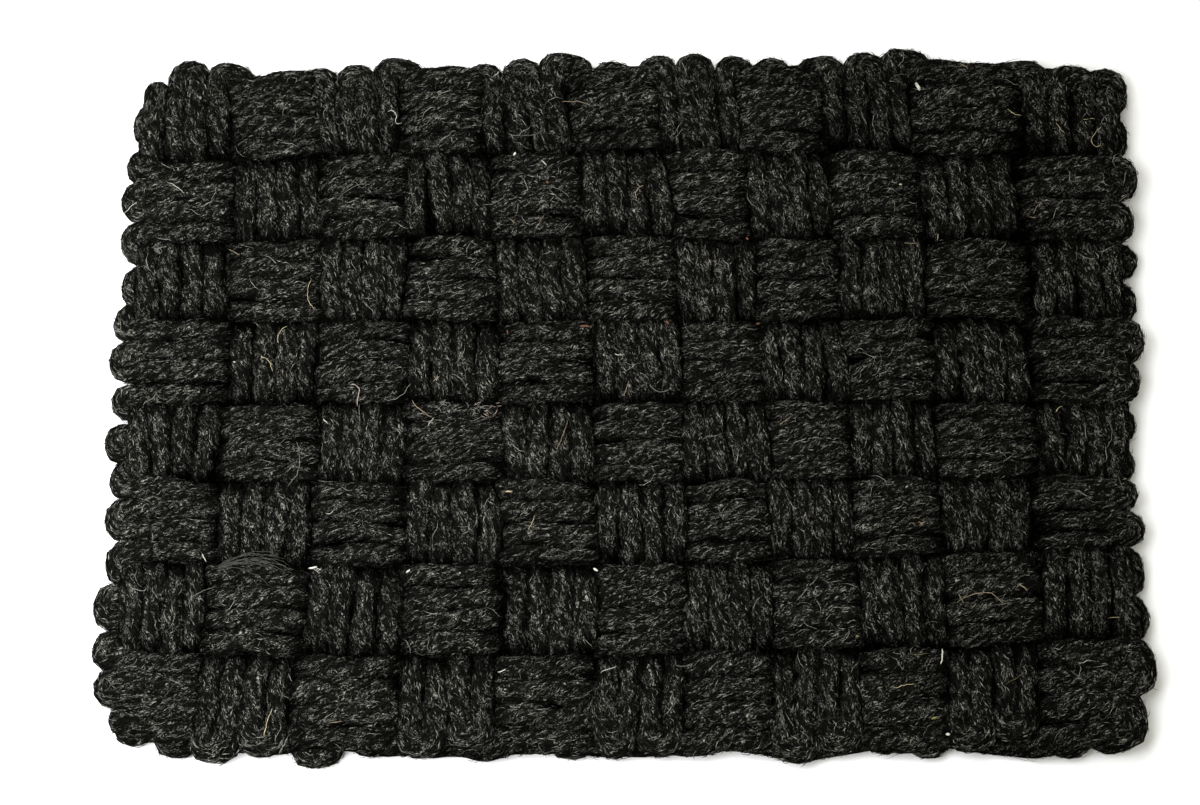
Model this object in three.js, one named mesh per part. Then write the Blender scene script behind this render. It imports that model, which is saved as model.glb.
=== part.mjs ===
// A hand-woven doormat in a basket weave, lying flat.
// Eleven bands of warp and eight bands of weft, four thick yarns each, pass over and under each other.
// The yarns turn back in loops at all four edges, so the outline is scalloped and a little uneven.
// Millimetres, +X across the width, +Y to the far edge, +Z up, origin under the middle of the mat.

import * as THREE from 'three';
import { mergeVertices } from 'three/addons/utils/BufferGeometryUtils.js';

// Driving dimensions
const YARNS_IN_BAND = 4;
const THICKNESS = 21.5; // floor to the crests of a woven block
const VALLEY_DEPTH = 4; // between two yarns of a band
const BLOCK_END_DROP = 6; // how far a yarn has bent down at the end of a block, by its crown's curve
const OUTER_YARN_DROP = 0.9; // the two outer yarns of a band lie lower
const SEAM_HEIGHT = 12; // where two blocks meet
const SEAM_CORNER_HEIGHT = 10; // where four blocks meet
const UNEVENNESS = 0.7; // one block's crown against another's
const LOOP_RADIUS = 5.4;
const LOOP_HEIGHT_OVER = 14; // middle of a loop whose yarn lies on top at the edge
const LOOP_HEIGHT_UNDER = 7.4; // middle of a loop whose yarn lies underneath
const LOOP_NOTCH = 5.5; // how far the outline draws in between two loops
const LOOP_SHOULDER = 0.3; // share of the notch already lost halfway from the tip
const RIM_WIDTH = 12; // from the tips of the loops to the outermost blocks
const CORNER_RIM_WIDTH = 10;
const PAD_SHARE = 0.7; // the part of each block's underside that lies flat on the floor
const GROOVE_HEIGHT = 4; // underside seams above the floor
const HALF_WIDTH = 262; // middle line of the outermost warp bands, where the weft's side values hold
const HALF_DEPTH = 184; // middle line of the outermost weft bands, where the warp's end values hold

// Warp bands from left to right: the x of the middle line at three places along it,
// and the y that the band's edge loops reach.
const warpBands = table(
  ['near', 'middle', 'far', 'nearLoopA', 'nearLoopB', 'farLoop', 'farLoopNext'],
  [
    [-262.0, -262.0, -262.0, -203.0, -209.0, 206.0, 204.0],
    [-216.0, -202.0, -213.0, -214.0, -210.0, 199.0, 201.0],
    [-156.0, -153.0, -165.0, -215.0, -211.0, 202.0, 207.0],
    [-101.5, -100.0, -112.0, -212.0, -208.0, 201.0, 204.0],
    [-44.0, -46.5, -63.0, -211.0, -208.0, 206.0, 210.5],
    [5.0, 7.3, -9.0, -211.0, -209.0, 206.0, 209.0],
    [57.0, 54.0, 33.5, -209.0, -209.0, 210.5, 208.0],
    [102.6, 101.5, 87.0, -214.5, -208.0, 208.0, 209.0],
    [154.0, 149.0, 137.5, -210.0, -210.0, 211.0, 215.0],
    [199.0, 202.0, 189.0, -206.0, -206.0, 207.0, 208.0],
    [258.0, 263.5, 268.0, -210.0, -204.0, 202.0, 199.0],
  ],
);

// Weft bands from near to far: the y of the middle line at three places along it,
// and the x that the band's edge loops reach.
const weftBands = table(
  ['left', 'middle', 'right', 'leftLoop', 'leftLoopNext', 'rightLoopA', 'rightLoopB'],
  [
    [-182.0, -187.0, -181.7, -298, -300, 287.0, 293.0],
    [-127.0, -127.0, -122.0, -299, -295, 291.0, 290.0],
    [-78.6, -79.1, -74.3, -296, -295, 292.0, 290.0],
    [-30.3, -31.3, -29.3, -299, -298, 288.7, 290.0],
    [15.6, 15.6, 17.6, -299, -298, 295.0, 298.0],
    [61.5, 66.4, 74.3, -295, -296, 295.0, 296.5],
    [114.3, 119.5, 118.5, -298, -295, 296.0, 300.0],
    [165.0, 173.0, 181.7, -293, -289, 295.5, 298.0],
  ],
);

// The outline's corners
const outlineCorners = {
  nearLeft: [-293, -193],
  nearRight: [285, -194],
  farRight: [289, 193],
  farLeft: [-281, 199],
};

function table(columns, rows) {
  return rows.map((row) => Object.fromEntries(columns.map((name, k) => [name, row[k]])));
}

const mix = (a, b, share) => a + (b - a) * share;
const mean = (a, b) => (a + b) / 2;

// A curve through three values, at -1, 0 and 1
const throughThree = (a, b, c, at) => b + ((c - a) / 2) * at + (mean(a, c) - b) * at * at;

const warpLine = (band, y) => throughThree(band.near, band.middle, band.far, y / HALF_DEPTH);
const weftLine = (band, x) => throughThree(band.left, band.middle, band.right, x / HALF_WIDTH);

const COLUMNS = warpBands.length;
const ROWS = weftBands.length;
const warpOnTop = (column, row) => (column + row) % 2 === 1;

// The four sides. On the near and right sides each band has two loops, and on the far and left
// sides one loop on its middle line and one shared with the next band.
const { nearLeft, nearRight, farRight, farLeft } = outlineCorners;
const sides = {
  near: {
    outward: -1,
    start: nearLeft[1],
    end: nearRight[1],
    loops: twoLoops(warpBands, 'nearLoopA', 'nearLoopB'),
  },
  far: {
    outward: 1,
    start: farLeft[1],
    end: farRight[1],
    loops: loopAndNext(warpBands, 'farLoop', 'farLoopNext'),
  },
  left: {
    outward: -1,
    start: nearLeft[0],
    end: farLeft[0],
    loops: loopAndNext(weftBands, 'leftLoop', 'leftLoopNext'),
  },
  right: {
    outward: 1,
    start: nearRight[0],
    end: farRight[0],
    loops: twoLoops(weftBands, 'rightLoopA', 'rightLoopB'),
  },
};

// How far the loops of each band reach: its own two, and their mean with the bands beside it
function twoLoops(bands, first, second) {
  return bands.map((band, n) => ({
    sharedTip: false,
    before: n > 0 ? mean(bands[n - 1][second], band[first]) : null,
    tips: [band[first], band[second]],
    after: n < bands.length - 1 ? mean(band[second], bands[n + 1][first]) : null,
  }));
}

function loopAndNext(bands, own, next) {
  return bands.map((band, n) => ({
    sharedTip: true,
    before: n > 0 ? bands[n - 1][next] : null,
    tips: [band[own]],
    after: n < bands.length - 1 ? band[next] : null,
  }));
}

// The reach at the start, quarters and end of a band's edge
function reachesAlong(side, n) {
  const { sharedTip, before, tips, after } = side.loops[n];
  const drawnIn = (value) => value - side.outward * LOOP_NOTCH;
  if (sharedTip) {
    const start = before ?? side.start;
    const end = after ?? side.end;
    return [start, drawnIn(mean(start, tips[0])), tips[0], drawnIn(mean(tips[0], end)), end];
  }
  const start = before === null ? side.start : drawnIn(before);
  const end = after === null ? side.end : drawnIn(after);
  return [start, tips[0], drawnIn(mean(tips[0], tips[1])), tips[1], end];
}

// The same with a shoulder between each tip and notch, so that the loops look round
function scallops(side, n) {
  const keys = reachesAlong(side, n);
  const result = [keys[0]];
  for (let k = 0; k < keys.length - 1; k++) {
    const further = keys[k] * side.outward > keys[k + 1] * side.outward ? keys[k] : keys[k + 1];
    const nearer = further === keys[k] ? keys[k + 1] : keys[k];
    result.push(mix(further, nearer, LOOP_SHOULDER), keys[k + 1]);
  }
  return result;
}

// Where the seams between blocks cross, in plan
function seamCrossing(column, row) {
  const atLeft = column === 0;
  const atRight = column === COLUMNS;
  const atNear = row === 0;
  const atFar = row === ROWS;
  if ((atLeft || atRight) && (atNear || atFar)) {
    const [x, y] = outlineCorners[(atNear ? 'near' : 'far') + (atLeft ? 'Left' : 'Right')];
    return [x - Math.sign(x) * CORNER_RIM_WIDTH, y - Math.sign(y) * CORNER_RIM_WIDTH];
  }
  let x = 0;
  let y = 0;
  for (let pass = 0; pass < 3; pass++) {
    if (atLeft || atRight) {
      const side = atLeft ? sides.left : sides.right;
      x = side.loops[row].before - side.outward * RIM_WIDTH;
    } else {
      x = mean(warpLine(warpBands[column - 1], y), warpLine(warpBands[column], y));
    }
    if (atNear || atFar) {
      const side = atNear ? sides.near : sides.far;
      y = side.loops[column].before - side.outward * RIM_WIDTH;
    } else {
      y = mean(weftLine(weftBands[row - 1], x), weftLine(weftBands[row], x));
    }
  }
  return [x, y];
}

// A block's plan: s runs from -1 to 1 across it in X, and t in Y
function blockPlan(column, row, s, t) {
  const [a, b] = [seamCrossing(column, row), seamCrossing(column + 1, row)];
  const [c, d] = [seamCrossing(column, row + 1), seamCrossing(column + 1, row + 1)];
  const [u, v] = [(s + 1) / 2, (t + 1) / 2];
  return [0, 1].map((k) => mix(mix(a[k], b[k], u), mix(c[k], d[k], u), v));
}

const isOuter = (column, row, s, t) =>
  (s === -1 && column === 0) ||
  (s === 1 && column === COLUMNS - 1) ||
  (t === -1 && row === 0) ||
  (t === 1 && row === ROWS - 1);

// The upper surface of a block, with its yarns running along t for warp and along s for weft
function topHeight(column, row, s, t) {
  const [across, along] = warpOnTop(column, row) ? [s, t] : [t, s];
  const atSide = Math.abs(across) === 1;
  const atEnd = Math.abs(along) === 1;
  if (atSide && atEnd) {
    return isOuter(column, row, s, t) ? SEAM_HEIGHT : SEAM_CORNER_HEIGHT;
  }
  if (atSide) {
    return SEAM_HEIGHT;
  }
  if (atEnd) {
    return isOuter(column, row, s, t) ? LOOP_HEIGHT_OVER + LOOP_RADIUS - VALLEY_DEPTH : SEAM_HEIGHT;
  }
  const yarnPhase = ((across + 1) / 2) * YARNS_IN_BAND;
  const inValley = Number.isInteger(yarnPhase);
  const outerYarn = Math.abs(across) > 0.5;
  const crown = THICKNESS - BLOCK_END_DROP * along ** 2 - (outerYarn ? OUTER_YARN_DROP : 0);
  const uneven = UNEVENNESS * Math.sin(2.1 * column + 3.7 * row);
  return crown - UNEVENNESS + uneven - (inValley ? VALLEY_DEPTH : 0);
}

const topPoint = (column, row, s, t) => [...blockPlan(column, row, s, t), topHeight(column, row, s, t)];

// The faces, as loose triangles until the end
const corners = [];
const face = (a, b, c) => corners.push(...a, ...b, ...c);

const facesUp = (a, b, c) => (b[0] - a[0]) * (c[1] - a[1]) > (b[1] - a[1]) * (c[0] - a[0]);
const faceUp = (a, b, c) => (facesUp(a, b, c) ? face(a, b, c) : face(a, c, b));
const faceDown = (a, b, c) => (facesUp(a, b, c) ? face(a, c, b) : face(a, b, c));

// A block's upper side: three cross-sections of yarn crests and valleys, and a strip at each end
// that closes them onto the sunken seam
function addBlockTop(column, row) {
  const warp = warpOnTop(column, row);
  const at = (across, along) =>
    warp ? topPoint(column, row, across, along) : topPoint(column, row, along, across);
  const yarn = 2 / YARNS_IN_BAND;
  const stations = [-0.5, 0, 0.5];
  for (let k = 0; k < YARNS_IN_BAND; k++) {
    const left = -1 + k * yarn;
    const crest = left + yarn / 2;
    const right = left + yarn;
    for (let n = 0; n < stations.length - 1; n++) {
      for (const [p, q] of [[left, crest], [crest, right]]) {
        const [a, b] = [at(p, stations[n]), at(q, stations[n])];
        const [c, d] = [at(p, stations[n + 1]), at(q, stations[n + 1])];
        faceUp(a, b, d);
        faceUp(a, d, c);
      }
    }
    for (const [end, last] of [[-1, stations[0]], [1, stations.at(-1)]]) {
      faceUp(at(left, end), at(right, end), at(crest, last));
      faceUp(at(left, end), at(crest, last), at(left, last));
      faceUp(at(right, end), at(crest, last), at(right, last));
    }
  }
}

// A block's underside: a flat pad on the floor, with a groove at each seam
function addBlockUnderside(column, row) {
  const under = (s, t, z) => [...blockPlan(column, row, s, t), z];
  const turns = [[-1, -1], [1, -1], [1, 1], [-1, 1]];
  const seam = turns.map(([s, t]) => under(s, t, GROOVE_HEIGHT));
  const pad = turns.map(([s, t]) => under(s * PAD_SHARE, t * PAD_SHARE, 0));
  faceDown(pad[0], pad[1], pad[2]);
  faceDown(pad[0], pad[2], pad[3]);
  for (let k = 0; k < 4; k++) {
    const next = (k + 1) % 4;
    faceDown(seam[k], seam[next], pad[next]);
    faceDown(seam[k], pad[next], pad[k]);
  }
}

// The rim along one block's edge in eight steps, each with its seam point, the tip that the loops
// reach, the outward direction and the height of the loop's middle
const RIM_STEPS = 8;

function rimAlongBlock(sideName, n) {
  const side = sides[sideName];
  const acrossX = sideName === 'near' || sideName === 'far';
  const fixed = side.outward;
  const [column, row] = acrossX ? [n, fixed < 0 ? 0 : ROWS - 1] : [fixed < 0 ? 0 : COLUMNS - 1, n];
  const onTop = warpOnTop(column, row) === acrossX;
  const ownHeight = onTop ? LOOP_HEIGHT_OVER : LOOP_HEIGHT_UNDER;
  return scallops(side, n).map((reach, k) => {
    const along = -1 + (2 * k) / RIM_STEPS;
    const [x, y] = acrossX ? blockPlan(column, row, along, fixed) : blockPlan(column, row, fixed, along);
    const height = mix(ownHeight, mean(LOOP_HEIGHT_OVER, LOOP_HEIGHT_UNDER), Math.abs(along));
    return {
      seam: acrossX ? topPoint(column, row, along, fixed) : topPoint(column, row, fixed, along),
      tip: acrossX ? [x, reach] : [reach, y],
      outward: acrossX ? [0, fixed] : [fixed, 0],
      height,
    };
  });
}

// The corner steps of two sides become one, on the outline's corner
function roundCorner(step, [x, y]) {
  return { ...step, tip: [x, y], outward: [Math.sign(x) * Math.SQRT1_2, Math.sign(y) * Math.SQRT1_2] };
}

// One block's stretch of rim: over the top of the loops, down their outer side and in underneath
function addRimStretch(steps, grooveStart, grooveEnd) {
  const level = (inset, rise) =>
    steps.map(({ tip, outward, height }) => [
      tip[0] - outward[0] * inset,
      tip[1] - outward[1] * inset,
      height + rise,
    ]);
  const upper = level(LOOP_RADIUS * 0.6, LOOP_RADIUS * 0.78);
  const outer = level(0, 0);
  const lower = level(LOOP_RADIUS * 0.5, -LOOP_RADIUS * 0.8);
  const seam = steps.filter((_, k) => k % 2 === 0).map((step) => step.seam);
  for (let k = 0; k < seam.length - 1; k++) {
    face(seam[k], upper[2 * k], upper[2 * k + 1]);
    face(seam[k], upper[2 * k + 1], seam[k + 1]);
    face(seam[k + 1], upper[2 * k + 1], upper[2 * k + 2]);
  }
  for (const [inner, next] of [[upper, outer], [outer, lower]]) {
    for (let k = 0; k < RIM_STEPS; k++) {
      face(inner[k], next[k], next[k + 1]);
      face(inner[k], next[k + 1], inner[k + 1]);
    }
  }
  for (let k = 0; k < RIM_STEPS; k++) {
    face(lower[k], k < RIM_STEPS / 2 ? grooveStart : grooveEnd, lower[k + 1]);
  }
  face(lower[RIM_STEPS / 2], grooveStart, grooveEnd);
}

// The rim goes round anticlockwise: near side, right side, and the far and left sides backwards
function addRim() {
  const circuit = [
    { name: 'near', blocks: COLUMNS, backwards: false, from: nearLeft, to: nearRight },
    { name: 'right', blocks: ROWS, backwards: false, from: nearRight, to: farRight },
    { name: 'far', blocks: COLUMNS, backwards: true, from: farRight, to: farLeft },
    { name: 'left', blocks: ROWS, backwards: true, from: farLeft, to: nearLeft },
  ];
  for (const { name, blocks, backwards, from, to } of circuit) {
    for (let k = 0; k < blocks; k++) {
      const steps = rimAlongBlock(name, backwards ? blocks - 1 - k : k);
      if (backwards) {
        steps.reverse();
      }
      if (k === 0) {
        steps[0] = roundCorner(steps[0], from);
      }
      if (k === blocks - 1) {
        steps[RIM_STEPS] = roundCorner(steps[RIM_STEPS], to);
      }
      const groove = ({ seam }) => [seam[0], seam[1], GROOVE_HEIGHT];
      addRimStretch(steps, groove(steps[0]), groove(steps[RIM_STEPS]));
    }
  }
}

function matGeometry() {
  for (let column = 0; column < COLUMNS; column++) {
    for (let row = 0; row < ROWS; row++) {
      addBlockTop(column, row);
      addBlockUnderside(column, row);
    }
  }
  addRim();
  const loose = new THREE.BufferGeometry();
  loose.setAttribute('position', new THREE.Float32BufferAttribute(corners, 3));
  const geometry = mergeVertices(loose, 1e-3);
  geometry.computeVertexNormals();
  return geometry;
}

const darkYarn = new THREE.MeshStandardMaterial({ color: 0x2b2b27, roughness: 0.95, metalness: 0 });

const mat = new THREE.Mesh(matGeometry(), darkYarn);
mat.name = 'woven_mat';

const doormat = new THREE.Group();
doormat.add(mat);

export default doormat;
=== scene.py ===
"""A thick doormat, hand-woven in a basket weave from soft, heathered charcoal yarn.

The warp and the weft are each one long yarn, led to and fro through the other and turned back in
loops at the edges. Loose fibres lie along the twist of both, finer hairs curl over them, and a
few pale threads and bits of straw have caught in the surface.
"""

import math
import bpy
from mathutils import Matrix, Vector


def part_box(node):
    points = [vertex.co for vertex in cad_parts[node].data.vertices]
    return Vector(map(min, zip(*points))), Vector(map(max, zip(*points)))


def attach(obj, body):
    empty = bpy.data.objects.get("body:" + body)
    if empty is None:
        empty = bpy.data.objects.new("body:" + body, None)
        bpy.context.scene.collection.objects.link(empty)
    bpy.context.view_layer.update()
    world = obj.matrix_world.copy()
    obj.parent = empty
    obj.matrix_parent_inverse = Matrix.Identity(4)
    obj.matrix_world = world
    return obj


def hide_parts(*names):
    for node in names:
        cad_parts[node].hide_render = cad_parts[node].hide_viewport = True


bl_info = {
    "name": "Hand-woven doormat",
    "version": (1, 0, 0),
    "blender": (4, 5, 0),
    "location": "View3D > Sidebar > Doormat",
    "description": "Weaves a thick doormat from soft dark yarn and sets it in a plain studio",
    "category": "Add Mesh",
}

from collections import namedtuple

import bpy
import numpy as np
from bpy.props import FloatProperty, FloatVectorProperty, IntProperty, PointerProperty
from mathutils import Vector
from mathutils.bvhtree import BVHTree

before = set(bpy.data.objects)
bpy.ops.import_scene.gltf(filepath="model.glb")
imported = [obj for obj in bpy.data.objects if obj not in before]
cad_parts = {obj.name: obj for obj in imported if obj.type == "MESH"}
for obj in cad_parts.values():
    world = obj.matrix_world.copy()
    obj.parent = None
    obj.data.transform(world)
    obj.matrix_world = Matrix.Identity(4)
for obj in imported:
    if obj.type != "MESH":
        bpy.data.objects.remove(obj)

MAT_NODE = "woven_mat"
MAT_LOW, MAT_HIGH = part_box(MAT_NODE)
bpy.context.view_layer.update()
BODY = "root"

MM = 0.001
THICKNESS = (MAT_HIGH[2] - MAT_LOW[2]) / MM
YARN_HEIGHT = THICKNESS / 2
RUNS_IN_BAND = 4
# The lowest place that any point of the mat may have, in metres. The floor lies just below it.
LOWEST = (-1.0, -1.0, 0.0001)

# The weave, in millimetres. A band's middle line runs through three places, at its near or left
# end, halfway and at its far or right end. The reaches say how far its edge loops stand out: two
# side by side on the near and right sides, and on the far and left sides one of its own and one
# that it shares with the next band.
Band = namedtuple("Band", "first middle last loop_a loop_b own_loop next_loop")
WARP_BANDS = [
    Band(-262.0, -262.0, -263.0, -204.5, -212.0, 206.0, 206.0),
    Band(-216.0, -202.0, -207.0, -216.0, -213.0, 202.0, 203.0),
    Band(-156.0, -153.0, -163.0, -217.0, -212.0, 204.0, 208.0),
    Band(-101.5, -100.0, -107.0, -213.0, -209.0, 204.0, 206.0),
    Band(-44.0, -46.5, -65.0, -210.0, -211.5, 206.5, 212.0),
    Band(5.0, 7.3, -4.0, -214.0, -212.0, 209.0, 211.5),
    Band(57.0, 54.0, 41.0, -209.5, -208.5, 210.5, 210.0),
    Band(102.6, 101.5, 88.0, -216.0, -211.5, 211.0, 210.0),
    Band(154.0, 149.0, 142.0, -210.5, -212.0, 211.5, 215.5),
    Band(199.0, 202.0, 193.5, -210.0, -204.5, 207.0, 208.0),
    Band(258.0, 263.5, 268.0, -212.0, -209.0, 202.0, 200.0),
]
WEFT_BANDS = [
    Band(-179.5, -183.0, -180.0, 287.0, 293.0, -298.5, -300.5),
    Band(-128.5, -127.0, -113.5, 293.0, 292.0, -301.0, -296.0),
    Band(-75.0, -79.1, -72.5, 292.0, 290.0, -296.5, -296.0),
    Band(-32.0, -31.3, -31.0, 291.0, 292.5, -301.0, -298.5),
    Band(15.0, 15.6, 14.5, 295.0, 299.5, -300.0, -299.0),
    Band(67.5, 66.4, 71.0, 297.0, 299.0, -296.5, -297.5),
    Band(112.5, 119.5, 110.5, 297.0, 300.5, -298.0, -296.5),
    Band(167.0, 174.5, 176.5, 297.5, 299.5, -295.0, -290.0),
]
WARP_HALF_LENGTH = 184.0
WEFT_HALF_LENGTH = 262.0
# The nearest yarns of the weft are drawn in at the left corner.
CORNER_LIFT = 9.5
CORNER_START = -248.0
CORNER_LENGTH = 46.0

# What has caught in the surface, in millimetres and degrees: where a thread starts, which way it
# heads from +X, its length, how far it turns over its first and its second half, and its colour.
Thread = namedtuple("Thread", "x y heading length turn turn_late thick tint")
THREADS = [
    # the far left quarter
    Thread(-142, 170, 29, 16, -150, 230, 0.31, "white"),
    Thread(-270, 125, -22, 13, -10, -8, 0.31, "white"),
    Thread(-295, 106, 44, 11, 5, 5, 0.31, "white"),
    Thread(-233, 85, -28, 8, 0, 0, 0.31, "tan"),
    Thread(-184, 65, -118, 20, 42, 45, 0.27, "straw"),
    Thread(-170, 114, 61, 23, -40, -35, 0.23, "grey"),
    Thread(-197, 37, -152, 13, 42, 45, 0.31, "straw"),
    Thread(-211, 17, -10, 12, -50, -15, 0.27, "straw"),
    Thread(-159, 2, 0, 16, -105, 20, 0.39, "rose"),
    Thread(-154, -10, -85, 11, 0, 0, 0.23, "grey"),
    Thread(-140, -7, -7, 20, 45, 15, 0.27, "grey"),
    Thread(-124, -7, -63, 17, 22, 25, 0.31, "tan"),
    Thread(-111, -18, -123, 7, 0, 0, 0.31, "white"),
    Thread(-112, 3, 42, 5, 0, 0, 0.31, "tan"),
    # the near left quarter
    Thread(-174, -19, -45, 4, 0, 0, 0.45, "white"),
    Thread(-189, -33, -72, 28, -25, -50, 0.27, "grey"),
    Thread(-171, -75, -14, 6, 40, 60, 0.27, "white"),
    Thread(-163, -59, -27, 6, 0, 0, 0.27, "grey"),
    Thread(-231, -116, -155, 21, 10, 30, 0.23, "grey"),
    Thread(-197, -186, -110, 16, 3, 3, 0.39, "straw"),
    Thread(-189, -166, -59, 5, 0, 0, 0.39, "grey"),
    Thread(-165, -194, 9, 7, 5, 5, 0.27, "tan"),
    # the far middle
    Thread(-79, 194, 48, 4, 0, 0, 0.45, "white"),
    Thread(-39, 177, 23, 19, -40, -5, 0.27, "tan"),
    Thread(-71, 157, -28, 23, 30, 28, 0.23, "grey"),
    Thread(-51, 140, -52, 5, 0, 0, 0.45, "white"),
    Thread(-46, 123, -12, 14, -20, -25, 0.23, "grey"),
    Thread(-46, 121, -47, 12, 0, 0, 0.23, "grey"),
    Thread(-85, 112, -16, 15, 30, 60, 0.23, "grey"),
    Thread(-52, 99, 61, 7, 0, 0, 0.27, "tan"),
    Thread(-69, 103, -40, 4, 0, 0, 0.31, "tan"),
    Thread(9, 123, -155, 11, 45, 45, 0.39, "tan"),
    # the middle and the near middle
    Thread(-8, 20, -38, 6, 40, 50, 0.31, "white"),
    Thread(-35, -20, -106, 19, -5, -5, 0.23, "tan"),
    Thread(13, 0, -47, 12, 40, 60, 0.27, "grey"),
    Thread(0, 3, -104, 9, 0, 0, 0.27, "tan"),
    Thread(-53, -76, -118, 11, 0, 0, 0.27, "straw"),
    Thread(86, -23, 43, 9, 0, 0, 0.27, "tan"),
    Thread(50, -72, -58, 8, 0, 0, 0.23, "grey"),
    Thread(-16, -166, 36, 10, -15, -20, 0.31, "white"),
    Thread(25, -161, -24, 10, 25, 35, 0.27, "grey"),
    Thread(-25, -147, -45, 6, 0, 0, 0.27, "grey"),
    Thread(-73, -165, 19, 5, 0, 30, 0.45, "white"),
    # the right
    Thread(172, 191, -75, 6.5, 0, 0, 1.9, "white"),
    Thread(198, 202, -35, 6, -5, -5, 0.27, "straw"),
    Thread(225, 173, -37, 10, 20, 20, 0.31, "straw"),
    Thread(269, 165, 0, 7, 0, 0, 0.27, "straw"),
    Thread(253, 163, -61, 8, 15, 20, 0.27, "straw"),
    Thread(280, 161, -138, 20, 30, 190, 0.31, "straw"),
    Thread(237, 106, 66, 9, -20, -80, 0.31, "tan"),
    Thread(235, 105, -10, 4, 0, 0, 0.31, "tan"),
    Thread(181, 94, -101, 4, 0, 0, 0.31, "straw"),
    Thread(161, 88, 0, 8, 0, 0, 0.31, "tan"),
    Thread(244, -15, 67, 6, -25, -25, 0.39, "straw"),
    Thread(273, -20, -67, 19, -35, -35, 0.23, "grey"),
    Thread(183, -126, 38, 29, -35, -70, 0.31, "tan"),
    Thread(184, -121, -54, 6, 0, 0, 0.27, "tan"),
    Thread(218, -116, -32, 6, 0, 0, 0.31, "straw"),
    Thread(267, -135, 4, 7, 0, 0, 0.27, "straw"),
    Thread(145, -175, 22, 13, -15, -12, 0.31, "straw"),
    Thread(156, -155, 3, 10, 0, 0, 0.23, "olive"),
    Thread(208, -173, 35, 12, 0, 0, 0.23, "olive"),
    Thread(174, -152, -85, 9, -15, -10, 0.83, "white"),
    Thread(249, -160, 10, 7, 0, 0, 0.31, "white"),
    Thread(244, -165, -42, 9, 0, 0, 0.23, "grey"),
    # specks, thick for their length
    Thread(-227, 15, 0, 1.6, 0, 0, 0.7, "white"),
    Thread(-240, -98, -53, 5, 0, 0, 0.6, "white"),
    Thread(-180, -106, 13, 5, 0, 0, 1.1, "white"),
    Thread(-125, -109, 38, 3, 0, 0, 1.0, "white"),
    Thread(-20, -106, -27, 3, 0, 0, 1.4, "white"),
    Thread(-67, 143, 70, 2.4, 0, 0, 1.4, "white"),
    Thread(-48, 125, 0, 2, 0, 0, 1.4, "rust"),
    Thread(69, 92, -40, 2, 0, 0, 1.2, "rust"),
    Thread(-70, 35, -80, 3.0, 0, 0, 0.8, "rust"),
    Thread(-28, 37, 0, 6, 0, 0, 1.0, "rust"),
    Thread(22, 40, -60, 2.4, 0, 0, 1.4, "rust"),
    Thread(74, 39, 10, 2.4, 0, 0, 1.1, "rust"),
    Thread(-70, -62, 10, 4, 0, 0, 1.0, "tan"),
    Thread(21, 81, 0, 2, 0, 0, 1.2, "grey"),
    Thread(159, 124, 0, 1.8, 0, 0, 1.0, "straw"),
    Thread(126, -145, 0, 2, 0, 0, 1.3, "olive"),
    Thread(166, -192, 18, 3.6, 0, 0, 1.5, "olive"),
    Thread(174, -200, 0, 2.4, 0, 0, 1.6, "white"),
]
# Small clumps of short threads: their middle, how many, how long and their colour.
Clump = namedtuple("Clump", "x y count spread length tint")
CLUMPS = [
    Clump(-275, 85, 16, 1.4, 4.5, "grey"),
    Clump(-269, 128, 5, 1.2, 4.0, "grey"),
    Clump(-177, -106, 4, 1.2, 4.0, "white"),
    Clump(163, -80, 7, 1.8, 3.5, "tan"),
    Clump(-108, -10, 7, 1.8, 5.0, "grey"),
    Clump(-85, -12, 14, 5.5, 4.0, "grey"),
    Clump(-82, -12, 8, 5.0, 3.5, "rose"),
]
# A loose strand of parallel threads that has slipped off a block in one low arc.
STRAND = Thread(-230, -106, 29, 38, -30, -32, 0.27, "charcoal")
STRAND_THREADS = 16
STRAND_WIDTH = 3.4
THREAD_CRINKLE = 11.0  # degrees that a thread strays from its way at each step


class Wire:
    """An output socket. Python expressions with it add nodes to its tree."""

    def __init__(self, graph, node, socket):
        self.graph = graph
        self.node = node
        self.socket = socket

    def other(self, name):
        return Wire(self.graph, self.node, live_socket(self.node.outputs, name))

    def __add__(self, value):
        return self.graph.worked_out("ADD", self, value)

    def __sub__(self, value):
        return self.graph.worked_out("SUBTRACT", self, value)

    def __rsub__(self, value):
        return self.graph.worked_out("SUBTRACT", value, self)

    def __mul__(self, value):
        return self.graph.worked_out("MULTIPLY", self, value)

    def __truediv__(self, value):
        return self.graph.worked_out("DIVIDE", self, value)

    def __rtruediv__(self, value):
        return self.graph.worked_out("DIVIDE", value, self)

    __radd__ = __add__
    __rmul__ = __mul__


def is_wide(value):
    """Whether it is a vector or a colour, and not one number."""
    if isinstance(value, Wire):
        return value.socket.type in ("VECTOR", "RGBA")
    return isinstance(value, tuple)


def live_socket(sockets, key):
    """The socket with that name that the node's settings have switched on, or that index."""
    if isinstance(key, int):
        return sockets[key]
    return next(s for s in sockets if s.name == key and s.enabled)


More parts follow.
